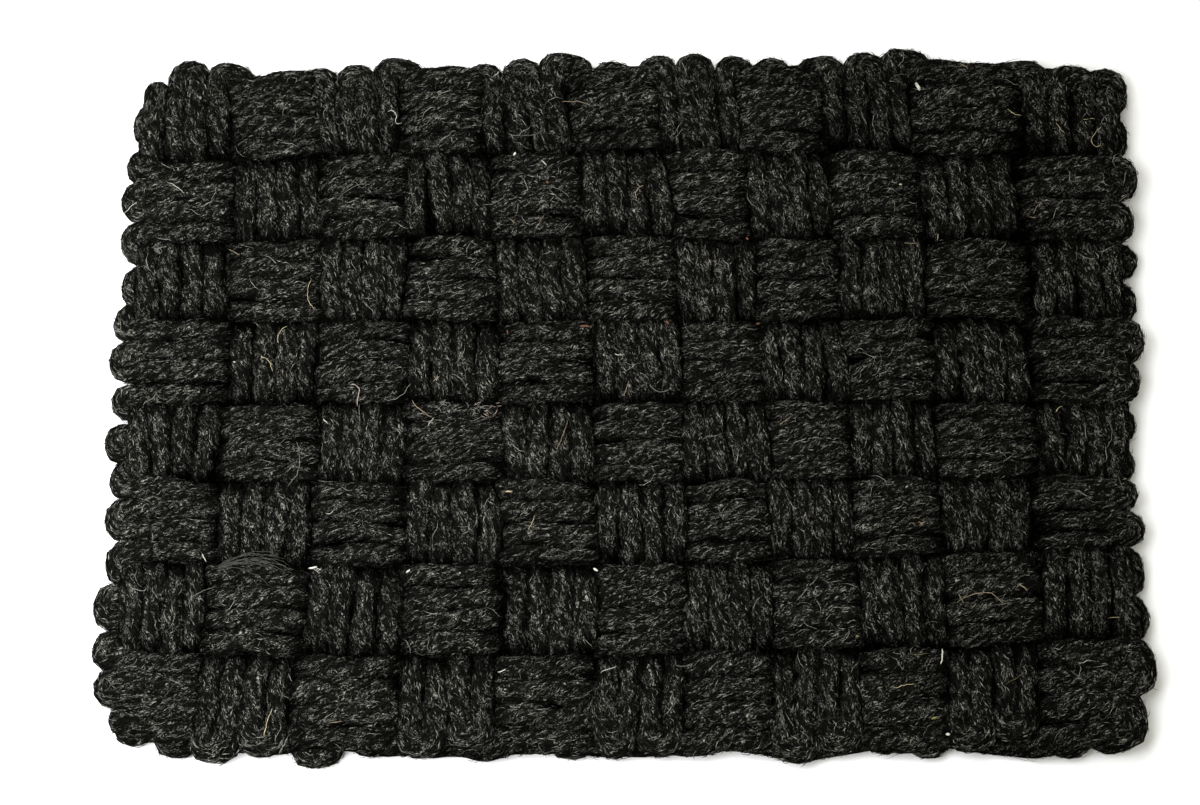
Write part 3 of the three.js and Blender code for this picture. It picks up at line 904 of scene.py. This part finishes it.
def yarn_material(name, colours):
    """Heathered yarn: curly grey fibres over a near-black ground, along the twist, with painted shade deep in
    the weave.
    """
    material, graph = new_material(name)
    strand = graph.carried("strand", "Vector")
    waver = graph.noise(strand, WAVER_GRAIN, 1.0, output="Color") - (0.5, 0.5, 0.5)
    curly = strand + waver * WAVER
    both = graph.maths("MAXIMUM", flecks(graph, curly, *BROAD_FLECKS), flecks(graph, curly, *FINE_FLECKS))
    patches = graph.noise(strand, PATCH_GRAIN)
    tone = both * graph.remapped(patches, *PATCHES) * FLECK_STRENGTH
    colour = graph.ramp(tone, colours.dark, MIDDLE_TONE, colours.middle, colours.pale)
    # Painted shade: the colour is darkened where the yarn carries a low lit, deep in the weave and in its
    # valleys.
    colour = colour * graph.remapped(graph.carried("lit", "Fac"), 0.0, 1.0, UNLIT, 1.0)
    relief = {"Strength": 1.0, "Distance": BUMP_DEPTH, "Height": tone * 0.5 + patches * 0.5}
    bump = graph.add("ShaderNodeBump", relief, output="Normal")
    graph.surface(colour, roughness=0.9, specular=0.0, normal=bump)
    return material


def fibre_material(name, colours, palest):
    """Loose fibres, each in its own grey darkened by painted shade deep in the weave, with paler and darker
    drifts across the mat.
    """
    material, graph = new_material(name)
    place = graph.add("ShaderNodeTexCoord", output="Object")
    tone = graph.carried("grey", "Fac")
    for grain, detail, roughness, weight in FIBRE_DRIFTS:
        tone = tone + (graph.noise(place, grain, detail, roughness) - 0.5) * weight
    graph.surface(graph.ramp(tone, colours.dark, 0.5, colours.middle, palest), roughness=0.7, specular=0.02)
    return material


def thread_material(name):
    """Caught threads, each in the colour that its mesh carries, slightly uneven along its length."""
    material, graph = new_material(name)
    place = graph.add("ShaderNodeTexCoord", output="Object")
    shade = graph.remapped(graph.noise(place, THREAD_GRAIN, 1.0), *THREAD_SHADES)
    graph.surface(graph.carried("tint", "Color") * shade, roughness=0.7, specular=0.05)
    return material


# The shapes of the loose fibres, for a length of one: how far each is arched, curled to one side and
# swayed, and how thick it is.
Fibre = namedtuple("Fibre", "name arch curl sway thickness")
TUFTS = [
    Fibre("tuft_straight", 0.03, 0.0, 0.0, 0.11),
    Fibre("tuft_left", 0.05, 0.1, 0.0, 0.12),
    Fibre("tuft_right", 0.05, -0.1, 0.0, 0.11),
    Fibre("tuft_high", 0.1, 0.05, 0.0, 0.1),
]
FLUFF = [
    Fibre("fluff_straight", 0.05, 0.0, 0.0, 0.075),
    Fibre("fluff_left", 0.08, 0.18, 0.0, 0.08),
    Fibre("fluff_right", 0.08, -0.18, 0.0, 0.08),
    Fibre("fluff_high", 0.15, 0.1, 0.0, 0.075),
]
CURLS = [
    Fibre("curl_arc", 0.05, 0.14, 0.0, 0.014),
    Fibre("curl_hook", 0.06, -0.22, 0.0, 0.014),
    Fibre("curl_wave", 0.05, 0.0, 0.07, 0.015),
    Fibre("curl_long", 0.04, 0.06, -0.04, 0.014),
]
FIBRE_SIDES = 3


def fibre_shape(fibre, rings):
    """A fibre one unit long on Z, pointed at both ends, arched along X, curled and swayed along Y."""

    def middle(height):
        arch = fibre.arch * (1 - (2 * height) ** 2)
        aside = fibre.curl * (4 * height * height - 0.5) + fibre.sway * math.sin(2 * math.pi * height)
        return arch, aside, height

    radius = fibre.thickness / 2
    points = [middle(-0.5)]
    for ring in range(1, rings + 1):
        x, y, height = middle(ring / (rings + 1) - 0.5)
        for side in range(FIBRE_SIDES):
            angle = 2 * math.pi * side / FIBRE_SIDES
            points.append((x + radius * math.cos(angle), y + radius * math.sin(angle), height))
    points.append(middle(0.5))
    last = len(points) - 1
    faces = []
    for side in range(FIBRE_SIDES):
        beside = (side + 1) % FIBRE_SIDES
        faces.append((0, 1 + beside, 1 + side))
        for ring in range(rings - 1):
            low = 1 + ring * FIBRE_SIDES
            high = low + FIBRE_SIDES
            faces.append((low + side, low + beside, high + beside, high + side))
        top = 1 + (rings - 1) * FIBRE_SIDES
        faces.append((top + side, top + beside, last))
    return new_piece(fibre.name, points, faces=faces)


# How fibres are laid: how thickly, how long, how far they stray from the twist and lift off the yarn,
# how far above it they start, how few are pale, and how much of its grey a fibre keeps in painted shade deep
# in the weave.
FIBRE_INPUTS = {
    "Density": 10000.0,
    "Length": 0.01,
    "Stray": 0.3,
    "Lift": 0.1,
    "Off": 0.0,
    "Paleness": 1.5,
    "Deepest": 0.05,
    "Seed": 1,
}
# What is added to a scatter's seed for each of its random values, to the weft's over the warp's, and
# to one kind of fibre's over the one before.
STRAY_SEED, LIFT_SEED, LENGTH_SEED, SHAPE_SEED, GREY_SEED = 3, 4, 5, 7, 8
WEFT_SEED_STEP = 40
KIND_SEED_STEP = 100


def scatter_tree(name, shapes):
    """Lays fibre shapes on a yarn's shown side, more or less along its twist."""
    graph = ShapeGraph(name, FIBRE_INPUTS)
    seed = graph.input("Seed")
    density = graph.input("Density") * graph.attribute("shown")
    scattered = graph.add(
        "GeometryNodeDistributePointsOnFaces",
        {"Mesh": graph.input("Geometry"), "Density": density, "Seed": seed},
    )
    normal = scattered.other("Normal")
    way = graph.attribute("fibre_way", "FLOAT_VECTOR")
    stray = graph.chance((-1.0, -1.0, -1.0), (1.0, 1.0, 1.0), seed + STRAY_SEED, "FLOAT_VECTOR")
    outward = graph.vector("DOT_PRODUCT", stray, normal)
    heading = way + (stray - normal * outward) * graph.input("Stray")
    heading = heading + normal * (graph.input("Lift") * graph.chance(-1.0, 1.0, seed + LIFT_SEED))
    turned = graph.add(
        "FunctionNodeAxesToRotation",
        {"Primary Axis": heading, "Secondary Axis": normal},
        {"primary_axis": "Z", "secondary_axis": "X"},
    )
    length = graph.input("Length") * graph.chance(0.5, 1.5, seed + LENGTH_SEED)
    kinds = graph.add("GeometryNodeJoinGeometry")
    for shape in shapes:
        info = graph.add("GeometryNodeObjectInfo", {"Object": shape, "As Instance": True}, output="Geometry")
        graph.tree.links.new(info.socket, kinds.node.inputs["Geometry"])
    place = graph.add("GeometryNodeInputPosition")
    raised = place + normal * graph.input("Off")
    placed = graph.add(
        "GeometryNodeInstanceOnPoints",
        {
            "Points": graph.moved(scattered, raised),
            "Instance": kinds,
            "Pick Instance": True,
            "Instance Index": graph.chance(0, len(shapes) - 1, seed + SHAPE_SEED, "INT"),
            "Rotation": turned,
            "Scale": graph.combined(length, length, length),
        },
    )
    grey = graph.maths("POWER", graph.chance(0.0, 1.0, seed + GREY_SEED), graph.input("Paleness"))
    # Painted shade: a fibre's grey is darkened where the yarn under it carries a low lit.
    grey = grey * graph.remapped(graph.attribute("lit"), 0.0, 1.0, graph.input("Deepest"), 1.0)
    return graph.finish(graph.stored(placed, "grey", grey, "FLOAT", "INSTANCE"))


def values_of(elements, name, kind):
    """One plain number from each of a mesh's elements."""
    values = np.zeros(len(elements), kind)
    elements.foreach_get(name, values)
    return values


def shown_area(mesh):
    """The area of a yarn's mesh, each face counted by how far it shows."""
    areas = values_of(mesh.polygons, "area", np.float32)
    shown = values_of(mesh.attributes["shown"].data, "value", np.float32)
    corners = values_of(mesh.loops, "vertex_index", np.int32)
    first = values_of(mesh.polygons, "loop_start", np.int32)
    return float((areas * shown[corners[first]]).sum())


def lay_fibres(label, fibres, values, count, seed, colours, rings=1, brighter=1.0):
    """Scatters fibres on the warp and on the weft, as one piece of each."""
    shapes = [fibre_shape(fibre, rings) for fibre in fibres]
    tree = scatter_tree(f"Scatter {label}", shapes)
    palest = [min(1.0, brighter * part) for part in colours.pale]
    material = fibre_material(label, colours, palest)
    for n, side in enumerate(("warp", "weft")):
        yarn = piece_named(f"{side}_yarn")
        piece = bpy.data.objects.new(f"{side}_{label}", yarn.data.copy())
        bpy.context.scene.collection.objects.link(piece)
        density = count / shown_area(yarn.data)
        own_seed = seed + WEFT_SEED_STEP * n
        hand_over(grown(piece, tree, dict(values, Material=material, Density=density, Seed=own_seed)))
    for shape in shapes:
        bpy.data.objects.remove(shape)


# How caught threads lie, in millimetres.
THREAD_STEP = 1.1
THREAD_GAP = 0.3  # between a thread's underside and the yarn
THREAD_SIDES = 5
THREAD_TAPER = 0.15  # what is left of a thread's section at its ends
CLUMP_SEED = 5
CLUMP_FLATTER = 0.6  # a clump's depth over its width
CLUMP_TURN = 50.0  # how far its threads head and bend off to either side, in degrees
CLUMP_LENGTHS = (0.6, 1.3)
CLUMP_THICK = 0.25
STRAND_STRAY = 5.0  # in degrees
STRAND_ENDS = 1.5
STRAND_LENGTHS = (0.85, 1.1)


class Surface:
    """The top of the woven yarns, for threads to lie on."""

    def __init__(self, names):
        points, faces = [], []
        for name in names:
            mesh = piece_named(name).data
            start = len(points)
            points.extend(vertex.co.to_tuple() for vertex in mesh.vertices)
            faces.extend([start + corner for corner in face.vertices] for face in mesh.polygons)
        self.tree = BVHTree.FromPolygons(points, faces)

    def height(self, x, y):
        hit = self.tree.ray_cast(Vector((x, y, 1.0)), Vector((0.0, 0.0, -1.0)))
        return hit[0].z if hit[0] else 0.0


def thread_points(thread, surface):
    """A thread's middle line, bent as its row says and lying on the yarns, in metres."""
    count = max(4, round(thread.length / THREAD_STEP) + 1)
    share = np.linspace(0.0, 1.0, count)
    late = thread.turn + (2 * share - 1) * thread.turn_late
    turned = np.where(share < 0.5, 2 * share * thread.turn, late)
    own_seed = abs(round(10 * thread.x + thread.y))
    crinkle = np.random.default_rng(own_seed).normal(0.0, THREAD_CRINKLE, count)
    heading = np.radians(thread.heading + turned + crinkle)
    pace = thread.length / (count - 1)
    x = thread.x + np.concatenate([[0.0], np.cumsum(np.cos(heading[:-1]) * pace)])
    y = thread.y + np.concatenate([[0.0], np.cumsum(np.sin(heading[:-1]) * pace)])
    lowest = np.array([surface.height(px * MM, py * MM) / MM for px, py in zip(x, y)])
    # A thread lies on the highest yarn within two points of each place, and bends softly.
    padded = np.pad(lowest, 2, mode="edge")
    highest = np.max([padded[n : n + count] for n in range(5)], axis=0)
    padded = np.pad(highest, 1, mode="edge")
    smooth = (padded[:-2] + 2 * padded[1:-1] + padded[2:]) / 4
    return np.column_stack([x, y, np.maximum(smooth, lowest) + THREAD_GAP + thread.thick / 2]) * MM


def thread_mesh(points, thick):
    """A thin tube along the points, narrower at both ends."""
    ways = np.gradient(points, axis=0)
    ways /= np.linalg.norm(ways, axis=1)[:, None]
    beside = np.cross(ways, (0.0, 0.0, 1.0))
    beside /= np.linalg.norm(beside, axis=1)[:, None]
    above = np.cross(beside, ways)
    angles = 2 * math.pi * np.arange(THREAD_SIDES) / THREAD_SIDES
    along = np.linspace(0, 1, len(points))
    radii = thick * MM / 2 * np.sqrt(np.clip(1 + THREAD_TAPER - (2 * along - 1) ** 4, THREAD_TAPER, 1))
    rings = [
        tuple(middle + radius * (math.cos(a) * right + math.sin(a) * up))
        for middle, radius, right, up in zip(points, radii, beside, above)
        for a in angles
    ]
    faces = []
    for low in range(0, len(rings) - THREAD_SIDES, THREAD_SIDES):
        for side in range(THREAD_SIDES):
            corner, beside_it = low + side, low + (side + 1) % THREAD_SIDES
            faces.append((corner, beside_it, beside_it + THREAD_SIDES, corner + THREAD_SIDES))
    faces.append(tuple(range(THREAD_SIDES))[::-1])
    faces.append(tuple(range(len(rings) - THREAD_SIDES, len(rings))))
    return rings, faces


def all_threads():
    """The single threads, and those of the clumps and of the loose strand."""
    rng = np.random.default_rng(CLUMP_SEED)
    threads = list(THREADS)
    for clump in CLUMPS:
        for _ in range(clump.count):
            x, y = rng.normal((clump.x, clump.y), (clump.spread, clump.spread * CLUMP_FLATTER))
            heading = rng.uniform(-CLUMP_TURN, CLUMP_TURN)
            length = clump.length * rng.uniform(*CLUMP_LENGTHS)
            turns = rng.uniform(-CLUMP_TURN, CLUMP_TURN, 2)
            threads.append(Thread(x, y, heading, length, *turns, CLUMP_THICK, clump.tint))
    for offset in np.linspace(-0.5, 0.5, STRAND_THREADS) * STRAND_WIDTH:
        length = STRAND.length * rng.uniform(*STRAND_LENGTHS)
        heading = STRAND.heading + rng.normal(0, STRAND_STRAY)
        x = STRAND.x + rng.normal(0, STRAND_ENDS)
        threads.append(STRAND._replace(x=x, y=STRAND.y + offset, length=length, heading=heading))
    return threads


# The levels in the weave, from -1 at its bottom to 1 at its top, where a yarn's painted shade is darkest
# and where it is painted fully lit.
WARP_LIGHT = {"Dark Level": -0.05, "Lit Level": 0.97}
WEFT_LIGHT = {"Dark Level": -0.4, "Lit Level": 0.9}
# The floor's half width, in metres.
FLOOR_HALF = 3.0
SENSOR_WIDTH = 36.0  # in millimetres


def weave(context, name, layer, runs_along_y, seed, twist, shading):
    """Spins one of the two yarns, which stand in for the whole mat."""
    sizes = context.scene.doormat_yarn
    route = yarn_route(layer, sizes, seed)
    material = yarn_material(name, context.scene.doormat_colours)
    piece = spin(name, route, runs_along_y, sizes, twist, shading, material)
    hand_over(piece)
    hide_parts(MAT_NODE)


class DOORMAT_OT_weave_warp(bpy.types.Operator):
    """Spin the warp yarn to and fro along the mat's depth"""

    bl_idname = "doormat.weave_warp"
    bl_label = "Weave Warp"

    def execute(self, context):
        sizes = context.scene.doormat_yarn
        warp, _ = layers(sizes)
        shading = dict(WARP_LIGHT, Valley=sizes.warp_valley_shade)
        weave(context, "warp_yarn", warp, True, sizes.seed, sizes.warp_twist, shading)
        return {"FINISHED"}


class DOORMAT_OT_weave_weft(bpy.types.Operator):
    """Spin the weft yarn to and fro across the mat's width"""

    bl_idname = "doormat.weave_weft"
    bl_label = "Weave Weft"

    def execute(self, context):
        sizes = context.scene.doormat_yarn
        _, weft = layers(sizes)
        shading = dict(WEFT_LIGHT, Valley=sizes.weft_valley_shade)
        weave(context, "weft_yarn", weft, False, sizes.seed + 1, sizes.weft_twist, shading)
        return {"FINISHED"}


class DOORMAT_OT_lay_tufts(bpy.types.Operator):
    """Lay small tufts of fibre along the twist of both yarns"""

    bl_idname = "doormat.lay_tufts"
    bl_label = "Lay Tufts"

    def execute(self, context):
        sizes = context.scene.doormat_fibres
        colours = context.scene.doormat_colours
        lie = {"Length": sizes.tuft_length, "Stray": 0.5, "Lift": 0.25, "Paleness": 1.7}
        lay_fibres("tufts", TUFTS, lie, sizes.tuft_count, sizes.seed, colours)
        return {"FINISHED"}


class DOORMAT_OT_lay_fluff(bpy.types.Operator):
    """Lay finer fibres that stray from the twist over the tufts"""

    bl_idname = "doormat.lay_fluff"
    bl_label = "Lay Fluff"

    def execute(self, context):
        sizes = context.scene.doormat_fibres
        colours = context.scene.doormat_colours
        lie = {"Length": sizes.fluff_length, "Stray": 0.75, "Lift": 0.5, "Off": 0.0003, "Deepest": 0.18}
        seed = sizes.seed + KIND_SEED_STEP
        lay_fibres("fluff", FLUFF, lie, sizes.fluff_count, seed, colours, brighter=1.1)
        return {"FINISHED"}


class DOORMAT_OT_curl_fibres(bpy.types.Operator):
    """Curl long pale fibres over both yarns"""

    bl_idname = "doormat.curl_fibres"
    bl_label = "Curl Fibres"

    def execute(self, context):
        sizes = context.scene.doormat_fibres
        colours = context.scene.doormat_colours
        lie = {"Length": sizes.curl_length, "Stray": 1.1, "Lift": 0.15, "Off": 0.0005}
        lie.update({"Paleness": 1.0, "Deepest": 0.25})
        seed = sizes.seed + 2 * KIND_SEED_STEP
        lay_fibres("curls", CURLS, lie, sizes.curl_count, seed, colours, rings=2, brighter=1.8)
        return {"FINISHED"}


class DOORMAT_OT_catch_threads(bpy.types.Operator):
    """Lay the pale threads, bits of straw and the loose strand that have caught in the surface"""

    bl_idname = "doormat.catch_threads"
    bl_label = "Catch Threads"

    def execute(self, context):
        colours = context.scene.doormat_threads
        surface = Surface(("warp_yarn", "weft_yarn"))
        points, faces, tints = [], [], []
        for thread in all_threads():
            own_points, own_faces = thread_mesh(thread_points(thread, surface), thread.thick)
            faces.extend(tuple(len(points) + corner for corner in face) for face in own_faces)
            points.extend(own_points)
            tints.extend([(*getattr(colours, thread.tint), 1.0)] * len(own_points))
        piece = new_piece("caught_threads", points, faces=faces)
        tint = piece.data.attributes.new("tint", "FLOAT_COLOR", "POINT")
        tint.data.foreach_set("color", np.array(tints, np.float32).ravel())
        piece.data.shade_smooth()
        piece.data.materials.append(thread_material("caught_threads"))
        hand_over(piece)
        return {"FINISHED"}


class DOORMAT_OT_set_studio(bpy.types.Operator):
    """Set the plain pale floor, the soft lights and the camera"""

    bl_idname = "doormat.set_studio"
    bl_label = "Set Studio"

    def execute(self, context):
        settings = context.scene.doormat_studio
        self.make_floor(settings)
        self.make_sky(context.scene, settings)
        self.hang_key(context.scene, settings)
        self.hang_sun(context.scene, settings)
        self.make_camera(context.scene, settings)
        context.scene.view_settings.view_transform = "Standard"
        return {"FINISHED"}

    def make_floor(self, settings):
        low, high = -FLOOR_HALF, FLOOR_HALF
        corners = [(low, low, 0.0), (high, low, 0.0), (high, high, 0.0), (low, high, 0.0)]
        floor = new_piece("floor", corners, faces=[(0, 1, 2, 3)])
        material = bpy.data.materials.new("floor")
        material.use_nodes = True
        shader = material.node_tree.nodes["Principled BSDF"]
        shader.inputs["Base Color"].default_value = (*settings.floor_colour, 1.0)
        shader.inputs["Roughness"].default_value = 0.9
        floor.data.materials.append(material)

    def make_sky(self, scene, settings):
        world = bpy.data.worlds.new("studio")
        world.use_nodes = True
        background = world.node_tree.nodes["Background"]
        background.inputs["Color"].default_value = (*settings.sky_colour, 1.0)
        background.inputs["Strength"].default_value = settings.sky_strength
        scene.world = world

    def hang_key(self, scene, settings):
        key = bpy.data.lights.new("key", "AREA")
        key.energy = settings.key_power
        key.color = settings.key_colour
        key.size = settings.key_size
        key.spread = settings.key_spread
        self.place_lamp(scene, key, Vector(settings.key_place), Vector(settings.key_target))

    def hang_sun(self, scene, settings):
        sun = bpy.data.lights.new("sun", "SUN")
        sun.energy = settings.sun_strength
        sun.angle = settings.sun_width
        self.place_lamp(scene, sun, Vector(settings.sun_way), Vector((0.0, 0.0, 0.0)))

    def place_lamp(self, scene, light, place, target):
        lamp = bpy.data.objects.new(light.name, light)
        lamp.location = place
        lamp.rotation_euler = (target - place).to_track_quat("-Z", "Y").to_euler()
        lamp.visible_camera = False
        scene.collection.objects.link(lamp)

    def make_camera(self, scene, settings):
        camera = bpy.data.cameras.new("camera")
        camera.lens = settings.lens
        camera.sensor_width = SENSOR_WIDTH
        holder = bpy.data.objects.new("camera", camera)
        holder.location = settings.camera_place
        holder.rotation_euler = (math.pi / 2 - settings.elevation, 0.0, 0.0)
        scene.collection.objects.link(holder)
        scene.camera = holder


class DOORMAT_PT_panel(bpy.types.Panel):
    """The doormat's steps, in order"""

    bl_label = "Doormat"
    bl_idname = "DOORMAT_PT_panel"
    bl_space_type = "VIEW_3D"
    bl_region_type = "UI"
    bl_category = "Doormat"

    def draw(self, context):
        for step in STEPS:
            self.layout.operator(step.bl_idname)


STEPS = (
    DOORMAT_OT_set_studio,
    DOORMAT_OT_weave_warp,
    DOORMAT_OT_weave_weft,
    DOORMAT_OT_lay_tufts,
    DOORMAT_OT_lay_fluff,
    DOORMAT_OT_curl_fibres,
    DOORMAT_OT_catch_threads,
)
GROUPS = {
    "doormat_yarn": YarnSizes,
    "doormat_fibres": FibreSizes,
    "doormat_colours": YarnColours,
    "doormat_threads": ThreadColours,
    "doormat_studio": StudioSettings,
}


def register():
    for made in (*GROUPS.values(), *STEPS, DOORMAT_PT_panel):
        bpy.utils.register_class(made)
    for name, group in GROUPS.items():
        setattr(bpy.types.Scene, name, PointerProperty(type=group))


def unregister():
    for name in GROUPS:
        delattr(bpy.types.Scene, name)
    for made in (DOORMAT_PT_panel, *reversed(STEPS), *reversed(GROUPS.values())):
        bpy.utils.unregister_class(made)


def main():
    register()
    for step in STEPS:
        family, name = step.bl_idname.split(".")
        getattr(getattr(bpy.ops, family), name)()


if __name__ == "__main__":
    main()
